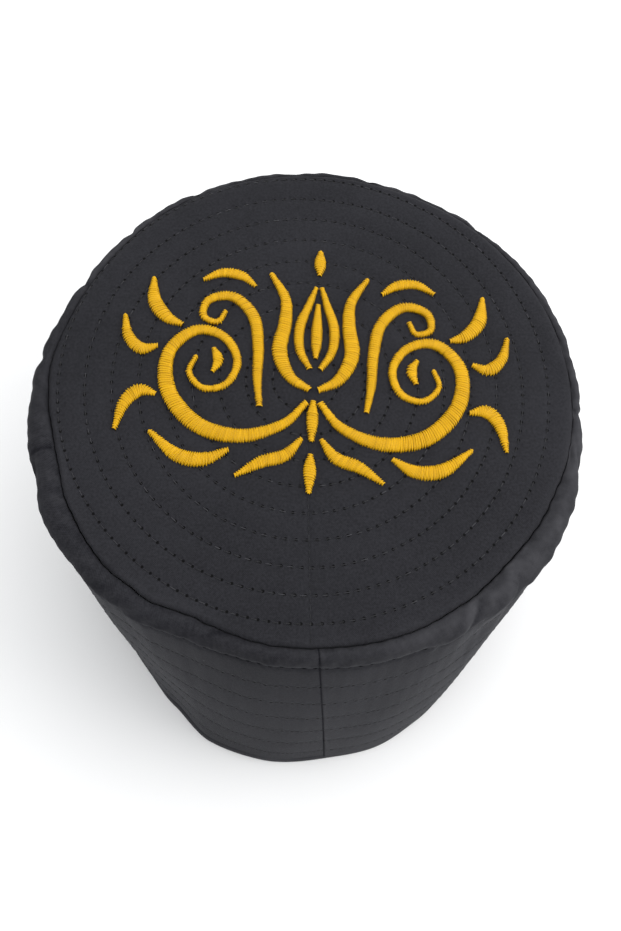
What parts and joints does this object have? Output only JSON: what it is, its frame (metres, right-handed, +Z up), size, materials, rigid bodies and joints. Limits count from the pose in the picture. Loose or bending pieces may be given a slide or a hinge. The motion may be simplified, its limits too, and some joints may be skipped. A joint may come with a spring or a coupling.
{
  "type": "prayer cap",
  "caption": "Tall round quilted cotton cap with a flat crown, a straight quilted wall, a soft roll under the crown's seam and a raised gold scroll ornament; worn on the head.",
  "frame": {"origin": "centre of the head opening, level with the rim that the cap rests on", "axes": "+Z up out of the crown, -Y to the front seam, +X to the right side seen from the front"},
  "size_m": [0.1906, 0.1966, 0.1168],
  "materials": {
    "cotton": "matt black woven cotton, quilted",
    "gold_thread": "golden yellow satin-stitch thread with a soft sheen"
  },
  "bodies": {
    "root": {"crown_top": "cotton", "side_wall": "cotton", "tulip_heart": "gold_thread", "top_drop": "gold_thread", "stem": "gold_thread", "foot_drop": "gold_thread", "tulip_petal_right": "gold_thread", "tulip_petal_left": "gold_thread", "bud_petal_right": "gold_thread", "bud_petal_left": "gold_thread", "main_scroll_right": "gold_thread", "main_scroll_left": "gold_thread", "scroll_bud_right": "gold_thread", "scroll_bud_left": "gold_thread", "inner_scroll_right": "gold_thread", "inner_scroll_left": "gold_thread", "high_leaf_right": "gold_thread", "high_leaf_left": "gold_thread", "side_leaf_right": "gold_thread", "side_leaf_left": "gold_thread", "tail_leaf_right": "gold_thread", "tail_leaf_left": "gold_thread", "low_leaf_right": "gold_thread", "low_leaf_left": "gold_thread", "foot_leaf_right": "gold_thread", "foot_leaf_left": "gold_thread", "crown_leaf_right": "gold_thread", "crown_leaf_left": "gold_thread"}
  },
  "joints": []
}
